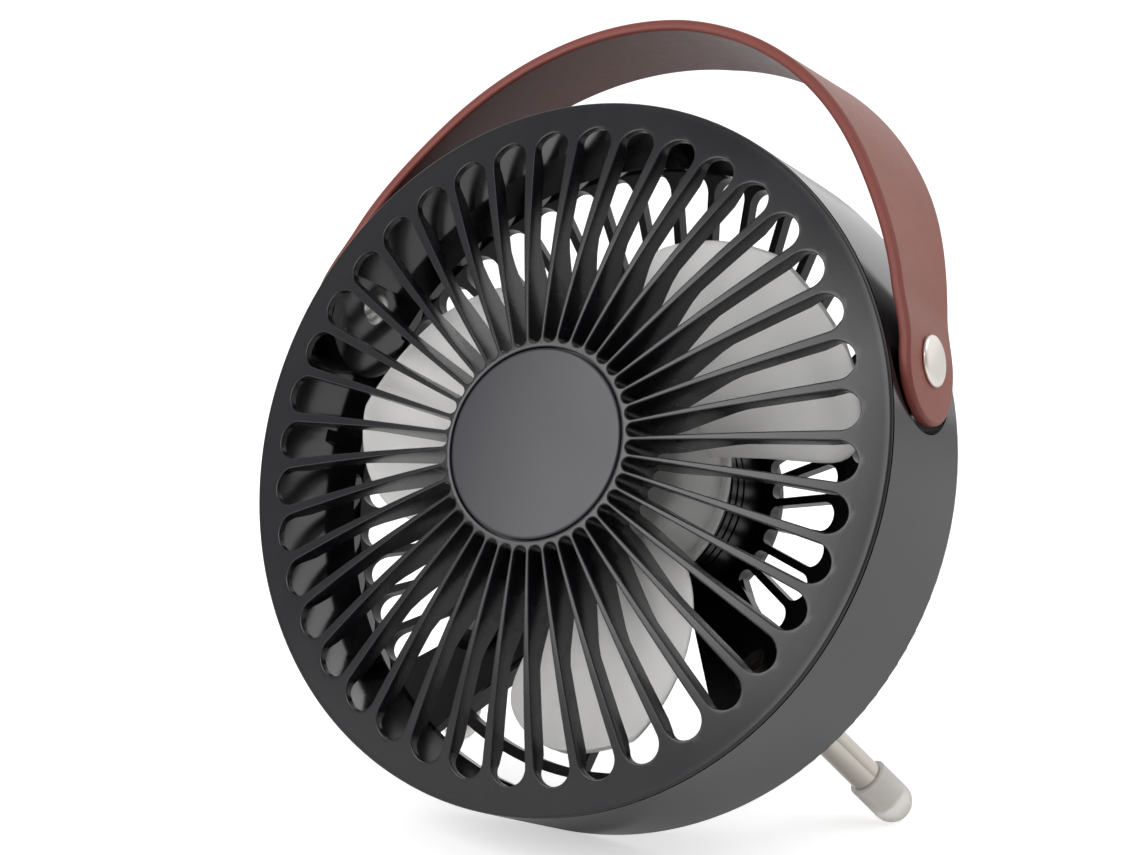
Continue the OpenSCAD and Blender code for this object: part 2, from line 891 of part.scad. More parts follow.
// Prism with round ends, for the charging socket and its cut-outs
module socket_prism(grow, h) {
  r = socket_h / 2 + grow;
  reach = (socket_w - socket_h) / 2;
  linear_extrude(height = h) {
    translate([-reach, -r]) square([2 * reach, 2 * r]);
    for (s = [-1, 1])
      translate([s * reach, 0]) circle(r = r, $fn = 32);
  }
}

module circuit_board() {
  color("#1f5c3a")
    fan_frame()
      difference() {
        translate([0, 0, -board_z]) cylinder(r = board_r, h = board_t);
        translate([0, -socket_y, -board_z - 1]) socket_prism(snug_fit, 1 + socket_tail + snug_fit);
      }
}

module switch_block() {
  color("#303236")
    fan_frame()
      translate([0, button_y, -board_z - switch_h]) {
        translate([-3, -3, 0.6]) cube([6, 6, switch_h - 0.6]);
        cylinder(r = 1.6, h = switch_h, $fn = 32);
      }
}

module battery_pack() {
  color("#5a7fa8")
    fan_frame()
      translate([-battery_w / 2, -battery_h / 2, -board_z + board_t])
        cube([battery_w, battery_h, battery_t]);
}

module charging_socket() {
  color("#c9ccd0")
    fan_frame()
      translate([0, -socket_y, -lid_z - lid_t + socket_recess])
        difference() {
          socket_prism(0, board_gap + lid_t - socket_recess + socket_tail);
          translate([0, 0, -1]) socket_prism(-socket_wall, board_gap + lid_t - 2 * socket_wall);
        }
}

module power_button() {
  color("#3a3b3f")
    fan_frame()
      translate([0, button_y, -lid_z]) {
        translate([0, 0, -lid_t - button_proud]) cylinder(r = button_r, h = lid_t + button_proud + 0.6);
        translate([0, 0, 0.05]) cylinder(r = button_flange_r, h = button_flange_t);
        translate([0, 0, 0.5])
          cylinder(r = 1.5, h = board_gap - switch_h - button_travel - 0.55, $fn = 32);
      }
}

// A wire swept along a helix that closes into flat end coils
module button_spring() {
  turns = 4.5;
  steps = 18;
  sides = 8;
  z0 = -lid_z + button_flange_t + 0.05 + spring_wire / 2 + 0.05;
  z1 = -board_z - spring_wire / 2 - 0.05;
  n = floor(turns * steps);
  pts = [
    for (i = [0:n])
      let (a = i * 360 / steps, z = z0 + (z1 - z0) * i / n)
        for (j = [0:sides - 1])
          let (b = j * 360 / sides, r = spring_r + spring_wire / 2 * cos(b))
            [r * cos(a), r * sin(a), z + spring_wire / 2 * sin(b)]
  ];
  faces = concat(
    [[for (j = [0:sides - 1]) j]],
    [[for (j = [sides - 1:-1:0]) n * sides + j]],
    [for (i = [0:n - 1])
      for (j = [0:sides - 1])
        [
          i * sides + (j + 1) % sides, i * sides + j,
          (i + 1) * sides + j, (i + 1) * sides + (j + 1) % sides
        ]]
  );
  color("#b8bbbf")
    fan_frame()
      translate([0, button_y, 0])
        polyhedron(points = pts, faces = faces, convexity = 6);
}

// --- Handle -------------------------------------------------------------------------

// Point of the right half of the strap's arch whose normal points an angle above horizontal
function half_arch(a, grow) =
  a < bend_a ? bend_c + (bend_r + grow) * [cos(a), sin(a)] :
  a < shoulder_a ? side_c + (side_r + grow) * [cos(a), sin(a)] :
  [0, strap_rise - top_r] + (top_r + grow) * [cos(a), sin(a)];

// The same for the whole arch
function arch(a, grow) =
  a <= 90 ? half_arch(a, grow) : [-half_arch(180 - a, grow)[0], half_arch(180 - a, grow)[1]];

// The strap: an arch of three bends on each side, with straight, round-ended tails,
// leaning back on its rivets
module handle_strap() {
  color("#7a3b35")
    fan_frame()
      translate([0, pivot_y, -pivot_z])
        rotate([-strap_lean, 0, 0])
          difference() {
            intersection() {
              translate([0, 0, -strap_w / 2])
                linear_extrude(height = strap_w)
                  polygon(concat(
                    [[strap_x + strap_t, -strap_w], [strap_x, -strap_w]],
                    [for (a = [0:arch_step:180]) arch(a, 0)],
                    [[-strap_x, -strap_w], [-strap_x - strap_t, -strap_w]],
                    [for (a = [180:-arch_step:0]) arch(a, strap_t)]
                  ));
              union() {
                rotate([0, 90, 0])
                  translate([0, 0, -big / 2]) cylinder(r = strap_w / 2, h = big);
                translate([-big / 2, 0, -strap_w]) cube([big, big, 2 * strap_w]);
              }
            }
            rotate([0, 90, 0])
              translate([0, 0, -big / 2])
                cylinder(r = rivet_r + running_fit, h = big, $fn = 48);
          }
}

// Rivet: flat domed head outside the strap, shank through strap, washer and barrel
module rivet(right) {
  color("#c9c6c0")
    fan_frame()
      side(right)
        rivet_frame() {
          translate([0, 0, pad_x - 1.2]) cylinder(r = rivet_r, h = head_x - pad_x + 2, $fn = 48);
          translate([0, 0, head_x]) {
            cylinder(r = rivet_head, h = head_t - 0.7);
            translate([0, 0, head_t - 0.75]) cylinder(r1 = rivet_head, r2 = rivet_head - 0.7, h = 0.75);
          }
        }
}

module rivet_cap(right) {
  color("#d9dbde")
    fan_frame()
      side(right)
        rivet_frame()
          translate([0, 0, pad_x])
            difference() {
              intersection() {
                translate([0, 0, -cap_h]) cylinder(r = cap_r, h = cap_h);
                translate([0, 0, cap_ball - cap_h]) sphere(r = cap_ball);
              }
              translate([0, 0, -1.25]) cylinder(r = rivet_r + 0.05, h = 2, $fn = 48);
            }
}

module strap_washer(right) {
  color("#b5b7ba")
    fan_frame()
      side(right)
        rivet_frame()
          translate([0, 0, pocket_x])
            difference() {
              cylinder(r = washer_r, h = washer_t);
              translate([0, 0, -1]) cylinder(r = rivet_r + snug_fit, h = washer_t + 2, $fn = 48);
            }
}

// --- Legs ---------------------------------------------------------------------------

module leg(right) {
  color("#d5d6d8")
    fan_frame()
      side(right)
        leg_frame()
          translate([0, 0, -leg_sunk])
            difference() {
              cylinder(r = leg_r, h = leg_sunk + leg_len - 1);
              translate([0, 0, 2]) cylinder(r = leg_r - leg_wall, h = leg_len + leg_sunk);
            }
}

// A soft cap with a ball end, pressed flat where it meets the floor
module foot(right) {
  color("#d9d6d2")
    difference() {
      fan_frame()
        side(right)
          leg_frame()
            translate([0, 0, leg_len])
              difference() {
                union() {
                  sphere(r = foot_r);
                  translate([0, 0, -foot_len]) cylinder(r = foot_r - 0.01, h = foot_len);
                }
                translate([0, 0, -foot_len - 1])
                  cylinder(r = leg_r + 0.02, h = foot_len + 0.1);
              }
      translate([-big / 2, -big / 2, -big]) cube([big, big, big]);
    }
}

// --- Fasteners ----------------------------------------------------------------------

// Pan-head screw that points along +Z, with a cross recess
module screw(head_r, head_h, shank_r, len) {
  difference() {
    translate([0, 0, -head_h]) cylinder(r = head_r, h = head_h, $fn = 32);
    for (a = [0, 90])
      rotate([0, 0, a])
        translate([-head_r * 0.6, -0.25, -head_h - 1]) cube([head_r * 1.2, 0.5, 1.5]);
  }
  translate([0, 0, -0.1]) cylinder(r = shank_r, h = len, $fn = 24);
}

module cover_screws() {
  color("#8f9194")
    fan_frame()
      for (a = COVER_SCREW_ANGLES)
        rotate([0, 0, a])
          translate([screw_pcd, 0, flange_z - flange_t + screw_head_h])
            screw(cover_head_r, screw_head_h, screw_r, cover_screw_len);
}

module lid_screws() {
  color("#8f9194")
    fan_frame()
      for (a = LID_SCREW_ANGLES)
        rotate([0, 0, a])
          translate([lid_boss_pcd, 0, -lid_z - lid_t + screw_head_h])
            screw(lid_head_r, screw_head_h, screw_r, lid_screw_len);
}

// Grub screws that hold the legs in their collars
module leg_screws() {
  color("#8f9194")
    fan_frame()
      for (s = [false, true])
        side(s)
          leg_frame()
            translate([leg_r + running_fit / 2, 0, leg_screw_z])
              rotate([0, 90, 0])
                difference() {
                  cylinder(r = leg_screw_r, h = leg_screw_len, $fn = 32);
                  translate([0, 0, leg_screw_len - 1.2]) cylinder(r = 0.75, h = 2, $fn = 6);
                }
}

front_grille();
hub_disc();
barrel();
rear_cover();
motor_housing();
housing_lid();
bearing_tube();
front_bearing();
rear_bearing();
stator_core();
stator_windings();
circuit_board();
switch_block();
battery_pack();
charging_socket();
power_button();
button_spring();
impeller();
rotor_can();
ring_magnet();
motor_shaft();
hub_nut();
shaft_clip();
handle_strap();
rivet(false);  // rivet_left
rivet(true);  // rivet_right
rivet_cap(false);  // rivet_cap_left
rivet_cap(true);  // rivet_cap_right
strap_washer(false);  // strap_washer_left
strap_washer(true);  // strap_washer_right
leg(false);  // leg_left
leg(true);  // leg_right
foot(false);  // foot_left
foot(true);  // foot_right
cover_screws();
lid_screws();
leg_screws();
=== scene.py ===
import math

import bpy
import numpy as np
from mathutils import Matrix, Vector


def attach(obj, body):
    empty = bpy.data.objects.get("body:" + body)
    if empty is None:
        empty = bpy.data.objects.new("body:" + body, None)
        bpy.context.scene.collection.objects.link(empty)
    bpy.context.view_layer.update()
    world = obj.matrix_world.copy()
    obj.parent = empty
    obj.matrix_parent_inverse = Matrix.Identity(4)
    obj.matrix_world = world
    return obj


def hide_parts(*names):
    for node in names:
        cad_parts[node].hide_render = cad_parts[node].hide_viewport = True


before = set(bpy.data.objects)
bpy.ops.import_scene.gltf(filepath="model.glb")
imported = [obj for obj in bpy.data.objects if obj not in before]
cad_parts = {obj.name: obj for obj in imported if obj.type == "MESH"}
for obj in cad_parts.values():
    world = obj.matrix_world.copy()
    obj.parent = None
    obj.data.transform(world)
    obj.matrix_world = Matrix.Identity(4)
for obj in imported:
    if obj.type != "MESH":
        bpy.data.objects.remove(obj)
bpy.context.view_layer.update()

# --- Front grille -------------------------------------------------------------------
# One-piece cap of black ABS: a hub, 40 radial ribs on a shallow dome and a plain rim with a
# rounded edge. It is injection moulded, satin outside, and its skirt clips into the barrel.

# Shapes are in mm in the fan's frame: X right, Y up along the grille, Z out of it on the axis
RIBS = 40
HALF = math.pi / RIBS  # angle from the middle of a rib to the middle of a slot
ACROSS = np.linspace(-1, 1, 7)  # places across a rib, as shares of its half width
SLOT_IN, SLOT_OUT = (25.7, 1.59), (73.55, 4.55)  # centre and radius of a slot's round ends
SLOT_START, SLOT_END = SLOT_IN[0] - SLOT_IN[1], SLOT_OUT[0] + SLOT_OUT[1]
FILLET = 0.35  # radius of the slots' front edges
DOME_R = 320.0
CREST_R, CREST_Z = 24.4, 11.3  # a point of the dome beside the hub
RIB_DEEP, RIM_DEEP, HUB_DEEP = 5, 2, 15  # depth of the ribs, of the rim and of the hub's wall
THIN_FROM, THIN_TO = 71, 77  # radii between which the ribs thin towards the rim
DEEP_FROM, DEEP_TO = 50, 30  # radii between which they deepen towards the hub
RIM_R, RIM_ROUND = 84.9, 0.7  # outer radius, and that of its rounded edge
SEAM_R, SEAM_GAP = 84.6, 0.12  # the rim's rear edge, and its gap to the barrel
SKIRT_IN, SKIRT_OUT, SKIRT_DEEP = 80.9, 82.1, 2.2  # ring behind the rim, inside the barrel
HUB_BORE_R, HUB_REAR, HUB_FLOOR = 22.3, 7.8, 10.0  # bore and floor behind the disc
RECESS_R, RECESS_TOP = 22.8, 11.1  # recess that takes the disc


def dome(r):
    """Height of the cap's front: a sphere of radius DOME_R through CREST_Z at CREST_R."""
    return np.sqrt(DOME_R**2 - r**2) - np.sqrt(DOME_R**2 - CREST_R**2) + CREST_Z


def web(r):
    """Height of the ribs' rear edges, RIB_DEEP behind the front. It eases to RIM_DEEP between
    THIN_FROM and THIN_TO, and drops in a straight line to HUB_DEEP from DEEP_FROM to DEEP_TO."""
    thin = np.clip((r - THIN_FROM) / (THIN_TO - THIN_FROM), 0, 1)
    deep = np.clip((DEEP_FROM - r) / (DEEP_FROM - DEEP_TO), 0, 1)
    eased = thin**2 * (3 - 2 * thin)
    return dome(r) - RIB_DEEP + (RIB_DEEP - RIM_DEEP) * eased - (HUB_DEEP - RIB_DEEP) * deep


def slot_side():
    """Half the outline of a slot along X, from its inner tip to its outer one, and its outward
    normals: an arc, the tangent that the two round ends share, and an arc."""
    (near, near_r), (far, far_r) = SLOT_IN, SLOT_OUT
    tangent = math.pi / 2 + math.asin((far_r - near_r) / (far - near))
    arc_in = np.linspace(math.pi, tangent, 7)
    arc_out = np.linspace(tangent, 0, 15)
    share = np.linspace(0, 1, 16)[1:-1]
    angle = np.concatenate([arc_in, np.full(len(share), tangent), arc_out])
    normal = np.stack([np.cos(angle), np.sin(angle)], -1)
    start = np.array([near, 0]) + near_r * normal[: len(arc_in)]
    end = np.array([far, 0]) + far_r * normal[-len(arc_out) :]
    straight = start[-1] + (end[0] - start[-1]) * share[:, None]
    return np.concatenate([start, straight, end]), normal


def rib():
    """A loop of wall, fillet, face, fillet, wall and back at each place of the slot's side. The
    fillet of radius f lies f (1 - cos b) along the side's normal, into the rib, and f (1 - sin b)
    deep."""
    side, normal = slot_side()

    def polar(inset):
        x, y = (side + inset * normal).T
        return np.hypot(x, y), np.maximum(HALF - np.arctan2(y, x), 0)

    def row(r, angle, z):
        return np.stack([r * np.cos(angle), r * np.sin(angle), z], -1)

    r, angle = polar(0)
    foot, shoulder = web(r), dome(r) - FILLET
    wall = [row(r, -angle, foot), row(r, -angle, foot + (shoulder - foot) / 2)]
    for b in np.linspace(0, math.pi / 2, 5)[:-1]:
        r_b, angle_b = polar(FILLET * (1 - math.cos(b)))
        wall.append(row(r_b, -angle_b, dome(r_b) - FILLET * (1 - math.sin(b))))
    r_face, angle_face = polar(FILLET)
    face = [row(r_face, angle_face * share, dome(r_face)) for share in ACROSS]
    far_wall = [points * np.array([1, -1, 1]) for points in wall[::-1]]
    back = [row(r, angle * share, foot) for share in ACROSS[-2:0:-1]]
    return np.stack(wall + face + far_wall + back, 1)


def swept(profile):
    """Profile (r, z) swept over the angle of one rib, with points where the rib has them."""
    r, z = np.asarray(profile, float).T[:, :, None]
    a = HALF * ACROSS[None, :]
    return np.stack([r * np.cos(a), r * np.sin(a), z + 0 * a], -1)


def rim():
    """Profile from the slots' outer ends over the face, round the edge and back by the skirt."""
    edge_r = RIM_R - RIM_ROUND
    face = np.linspace(SLOT_END + FILLET, edge_r, 6)
    turn = np.linspace(math.pi / 2, 0, 6)[1:]
    edge_z = float(dome(edge_r)) - RIM_ROUND
    edge = np.stack([edge_r + RIM_ROUND * np.cos(turn), edge_z + RIM_ROUND * np.sin(turn)], -1)
    back = float(web(SLOT_END))
    return np.concatenate([
        np.stack([face, dome(face)], -1), edge,
        [[SEAM_R, SEAM_GAP], [SKIRT_OUT, SEAM_GAP], [SKIRT_OUT, back - SKIRT_DEEP]],
        [[SKIRT_IN, back - SKIRT_DEEP], [SKIRT_IN, back], [SLOT_END, back]],
    ])


def hub():
    """Profile from the slots' inner ends round the wall, the floor and the lip of the recess."""
    back, crest, lip = float(web(SLOT_START)), SLOT_START - FILLET, RECESS_R + 0.3
    return [
        (SLOT_START, back), (HUB_BORE_R, back), (HUB_BORE_R, HUB_REAR), (0, HUB_REAR),
        (0, HUB_FLOOR), (RECESS_R, HUB_FLOOR), (RECESS_R, RECESS_TOP),
        (RECESS_R + 0.1, RECESS_TOP + 0.2), (lip, float(dome(lip))), (crest, float(dome(crest))),
    ]


def turned(p, angles):
    """Copies of points p turned about the fan's axis by each angle, with the copies first."""
    a = np.asarray(angles, float).reshape((-1,) + (1,) * (p.ndim - 1))
    x, y, z = p[..., 0], p[..., 1], p[..., 2]
    return np.stack(
        [x * np.cos(a) - y * np.sin(a), x * np.sin(a) + y * np.cos(a), z + 0 * a], -1
    )


LEAN = math.radians(22)  # the fan leans back by this much
AXIS_H = 92.2184  # height of its axis above the floor, where it crosses the grille's seam
MID_Y = 20.9946  # sets the middle of the part's depth over the origin


def stand(p):
    """Fan frame in mm to the row frame in m: the fan is leant back by L, shifted by m and lifted
    by h, (x, y, z) -> (x, y sin L - z cos L - m, y cos L + z sin L + h)."""
    x, y, z = np.moveaxis(np.asarray(p, float), -1, 0)
    s, c = math.sin(LEAN), math.cos(LEAN)
    return np.stack([x, y * s - z * c - MID_Y, y * c + z * s + AXIS_H], -1) / 1000


def welded(grids):
    """Corners and faces of grids (points, wrap_n, wrap_m), with points as (copies, n, m, 3). Quads
    join neighbours, and points nearer than 0.1 micrometre are one corner, which turns some quads
    into triangles. Also gives the place of each corner in the list of all points."""
    points, quads, base = [], [], 0
    for grid, wrap_n, wrap_m in grids:
        copies = grid.reshape((-1,) + grid.shape[-3:])
        k, n, m = copies.shape[:3]
        i = np.arange(n if wrap_n else n - 1)[:, None]
        j = np.arange(m if wrap_m else m - 1)[None, :]
        i1, j1 = (i + 1) % n, (j + 1) % m
        quad = np.stack([i * m + j, i1 * m + j, i1 * m + j1, i * m + j1], -1).reshape(1, -1, 4)
        quads.append((quad + np.arange(k)[:, None, None] * n * m).reshape(-1, 4) + base)
        points.append(copies.reshape(-1, 3))
        base += k * n * m
    p = np.concatenate(points)
    _, first, index = np.unique(
        np.round(p * 1e4), axis=0, return_index=True, return_inverse=True
    )
    q = index.reshape(-1)[np.concatenate(quads)]
    same = q == np.roll(q, -1, axis=1)
    crossed = (q[:, 0] == q[:, 2]) | (q[:, 1] == q[:, 3])
    fours = q[(same.sum(1) == 0) & ~crossed]
    rest = q[(same.sum(1) == 1) & ~crossed]
    gap = np.argmax(rest == np.roll(rest, -1, axis=1), axis=1)
    kept = (gap[:, None] + np.array([1, 2, 3])) % 4
    threes = rest[np.arange(len(rest))[:, None], kept]
    return p[first], fours.tolist() + threes.tolist(), first


def skin(name, grids, finish=None):
    """One closed object from grids, smooth except at edges over 40 degrees. Finish is a value for
    each point of the grids, kept as the mesh's attribute of that name."""
    corners, faces, first = welded(grids)
    mesh = bpy.data.meshes.new(name)
    mesh.from_pydata(stand(corners).tolist(), [], faces)
    if finish is not None:
        values = finish.reshape(-1)[first].astype(np.float32)
        mesh.attributes.new("finish", "FLOAT", "POINT").data.foreach_set("value", values)
    piece = bpy.data.objects.new(name, mesh)
    bpy.context.scene.collection.objects.link(piece)
    bpy.context.view_layer.objects.active = piece
    bpy.ops.object.select_all(action="DESELECT")
    piece.select_set(True)
    bpy.ops.object.mode_set(mode="EDIT")
    bpy.ops.mesh.select_all(action="SELECT")
    bpy.ops.mesh.normals_make_consistent(inside=False)
    bpy.ops.object.mode_set(mode="OBJECT")
    mesh.shade_smooth()
    mesh.set_sharp_from_angle(angle=math.radians(40))
    return piece


def colour(code):
    """Linear RGBA of an sRGB colour written as rrggbb."""
    v = [int(code[i : i + 2], 16) / 255 for i in (0, 2, 4)]
    return [c / 12.92 if c <= 0.04045 else ((c + 0.055) / 1.055) ** 2.4 for c in v] + [1]


def add(tree, kind, inputs=(), **settings):
    """Adds a node: settings are its properties, inputs its values or the outputs that feed it."""
    node = tree.nodes.new(kind)
    for key, value in settings.items():
        setattr(node, key, value)
    for key, value in dict(inputs).items():
        if isinstance(value, bpy.types.NodeSocket):
            tree.links.new(value, node.inputs[key])
        else:
            node.inputs[key].default_value = value
    return node


def surface(name):
    """A new material: itself, its tree, its shader and its Object coordinates."""
    material = bpy.data.materials.new(name)
    material.use_nodes = True
    tree = material.node_tree
    place = add(tree, "ShaderNodeTexCoord")
    return material, tree, tree.nodes["Principled BSDF"], place.outputs["Object"]


def noise(tree, at, size_mm, detail):
    """The height of a noise whose features are size_mm wide."""
    inputs = {"Vector": at, "Scale": 1000 / size_mm, "Detail": detail}
    return add(tree, "ShaderNodeTexNoise", inputs).outputs["Fac"]


def spread(tree, value, low, high, start=0.0, end=1.0):
    """Maps a value from start...end to low...high."""
    node = add(tree, "ShaderNodeMapRange", {
        "Value": value, "From Min": start, "From Max": end, "To Min": low, "To Max": high,
    })
    return node.outputs["Result"]


def relief(tree, height, relief_mm, strength=1.0):
    """The normal of a bump of that height in mm."""
    node = add(tree, "ShaderNodeBump", {
        "Height": height, "Distance": relief_mm / 1000, "Strength": strength,
    })
    return node.outputs["Normal"]


def grained(name, base, rough, grain_mm, relief_mm, blotch_mm=18, sheen=0.5, metallic=0):
    """Moulded or finished surface: its roughness drifts between two values from place to place,
    over blotch_mm, and its grain is a noise bump of that size and relief."""
    material, tree, shader, at = surface(name)
    drift = spread(tree, noise(tree, at, blotch_mm, 3), *rough, start=0.3, end=0.7)
    grain = relief(tree, noise(tree, at, grain_mm, 2), relief_mm)
    shader.inputs["Base Color"].default_value = colour(base)
    shader.inputs["Specular IOR Level"].default_value = sheen
    shader.inputs["Metallic"].default_value = metallic
    tree.links.new(drift, shader.inputs["Roughness"])
    tree.links.new(grain, shader.inputs["Normal"])
    return material


def put(piece, material, body, slot, *nodes):
    """Gives a piece its material and its body, and hides the nodes it replaces; its slot is not
    used.
    """
    piece.data.materials.append(material)
    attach(piece, body)
    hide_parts(*nodes)


# Black ABS from a lightly etched mould: an even, soft sheen, broken only at the ribs' edges
satin_black = grained("abs_satin_black", "101014", (0.24, 0.30), grain_mm=0.5, relief_mm=0.002)
around = np.arange(RIBS) * 2 * HALF
cap = [
    (turned(rib(), around), False, True),
    (turned(swept(rim()), around), False, False),
    (turned(swept(hub()), around), False, False),
]
put(skin("grille_cap", cap), satin_black, "body", "black_plastic", "front_grille")

# --- Hub disc -----------------------------------------------------------------------
# Blank disc of black ABS that is glued into the hub's recess. Its face has a finer etch
# than the grille, and a narrow shadow gap is left around it.

DISC_R, DISC_REAR, DISC_FRONT = 22.55, 10.02, 11.45


def lathe(profile, origin=(0, 0, 0), axis=(0, 0, 1), steps=96, closed=False):
    """Profile (r, h) turned about an axis: origin + axis h + r (u cos a + v sin a), with u and v
    normal to the axis."""
    w = np.asarray(axis, float) / np.linalg.norm(axis)
    u = np.cross(w, [0.3, 0.5, 0.8])
    u /= np.linalg.norm(u)
    v = np.cross(w, u)
    r, h = np.asarray(profile, float).T[:, :, None]
    a = np.arange(steps)[None, :] * 2 * math.pi / steps
    ring = u * np.cos(a)[..., None] + v * np.sin(a)[..., None]
    return np.asarray(origin, float) + h[..., None] * w + r[..., None] * ring, closed, True


# Black ABS with a fine etch: greyer and flatter than the ribs, with one broad highlight
etched_black = grained(
    "abs_etched_black", "1f1f27", (0.31, 0.37), grain_mm=0.25, relief_mm=0.004, blotch_mm=30
)
disc = [
    (0, DISC_REAR), (DISC_R - 0.25, DISC_REAR), (DISC_R, DISC_REAR + 0.18),
    (DISC_R, DISC_FRONT - 0.45), (DISC_R - 0.1, DISC_FRONT - 0.2),
    (DISC_R - 0.35, DISC_FRONT - 0.05), (DISC_R - 0.75, DISC_FRONT), (0, DISC_FRONT),
]
put(skin("hub_inset", [lathe(disc, steps=144)]), etched_black, "body", "disc", "hub_disc")

# --- Barrel ---------------------------------------------------------------------------
# Short round shell of black ABS with a flat pocket on each side for the strap. It is
# injection moulded, glossier than the grille, and its rear ledge carries the rear cover.


def dress(material, *names):
    """Gives CAD nodes a material in each of their slots."""
    for name in names:
        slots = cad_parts[name].data.materials
        for i in range(len(slots)):
            slots[i] = material


# Black ABS from a polished mould: clear streaks of light along the shell's curve
shell_black = grained(
    "abs_shell_black", "101013", (0.10, 0.14), grain_mm=0.8, relief_mm=0.001, sheen=0.7
)
dress(shell_black, "barrel")

# --- Rear cover -----------------------------------------------------------------------
# Conical cover of black ABS with two rows of radial slots, an open sector at the bottom
# and two thick arms whose collars grip the legs. Self-tapping screws hold it.


def metal(name, base, rough, grain_mm=0.6, relief_mm=0.002):
    """Plated or polished metal with a fine grain."""
    return grained(name, base, rough, grain_mm, relief_mm, blotch_mm=9, metallic=1)


# Black ABS, painted a touch deeper than the shell's as painted shade for the inside of the barrel:
# the cover sinks back behind the ribs
gloss_black_painted_shade = grained(
    "abs_gloss_black", "0c0c0d", (0.26, 0.36), grain_mm=1.2, relief_mm=0.003, sheen=0.3
)
# Bright zinc plate: a cool grey with soft, slightly cloudy reflections
zinc = metal("zinc_plated_steel", "9fa3a6", (0.25, 0.38))
dress(gloss_black_painted_shade, "rear_cover")
dress(zinc, "cover_screws", "leg_screws")

# --- Motor housing and lid ------------------------------------------------------------
# Ribbed round housing of black ABS around the battery pack, the board and the switch. Its
# lid is held by screws and carries the spring-loaded push button and the charging socket.

# Ferrite and filled plastic: a dull dark grey that takes no clear highlight
ferrite = grained("bonded_ferrite", "2e2e30", (0.5, 0.6), grain_mm=0.3, relief_mm=0.01)
# Lacquered board: an even green gloss
solder_mask = grained("solder_mask_green", "1d5236", (0.2, 0.3), grain_mm=2, relief_mm=0.01)
# Shrunk film: a slightly wavy blue gloss
shrink_film = grained("shrink_film_blue", "3f6188", (0.2, 0.35), grain_mm=3, relief_mm=0.05)
# The housing takes the cover's black, painted a touch deeper as painted shade
dress(gloss_black_painted_shade, "motor_housing")
dress(satin_black, "housing_lid", "power_button")
dress(zinc, "button_spring", "charging_socket", "lid_screws")
dress(ferrite, "switch_block")
dress(solder_mask, "circuit_board")
dress(shrink_film, "battery_pack")

# --- Motor ----------------------------------------------------------------------------
# Small outer-rotor motor: zinc-plated pressed can, ferrite ring, steel laminations with
# enamelled copper coils, and a ground shaft in sintered bronze bearings.

# Pressed bronze powder: a warm, matt yellow-brown
bronze = metal("sintered_bronze", "9a6b3a", (0.4, 0.55), grain_mm=0.2, relief_mm=0.01)
# Stamped sheet: a dark, oily grey
laminations = metal("steel_laminations", "55585c", (0.4, 0.5))
# Wound wire: a bright reddish brown that glitters from turn to turn
copper = metal("enamelled_copper", "a2572b", (0.25, 0.35), grain_mm=0.5, relief_mm=0.05)
dress(zinc, "bearing_tube", "rotor_can", "motor_shaft", "hub_nut", "shaft_clip")
dress(bronze, "front_bearing", "rear_bearing")
dress(laminations, "stator_core")
dress(copper, "stator_windings")
dress(ferrite, "ring_magnet")

# --- Impeller -------------------------------------------------------------------------
# Three broad blades on a hub cup, moulded in one piece of natural polypropylene: milky,
# frosted, and letting the light through. The cup is pressed on the rotor can.

BLADE_ANGLES = np.radians([48.6, 168.6, 288.6])
ROOT_R, TIP_R = 26.8, 67.6  # the blades' roots end inside the cup's wall
PITCH, CAMBER_R = math.radians(19.9), 400.0
BLADE_MID, BLADE_T = -16.1, 1.6  # height of the blade's middle, and its thickness
TIP_ROUND = 0.025  # share of the blade's length over which its tip thins to a round edge
LEAD, TRAIL = 49.9, 40.1  # degrees from the blade's axis to its two edges, before their curves
BORE_R, BOSS_R, CAN_R = 1.56, 4.6, 24.5  # bore for the shaft, its boss, bore for the rotor can
CUP_R, FLANGE_R = 28.0, 29.6
CUP_FRONT, CUP_REAR = -12.0, -30.6
CUP_FACE_T, BOSS_T, FLANGE_T = 2.0, 2.55, 2.0  # thicknesses
BEVEL = 0.2


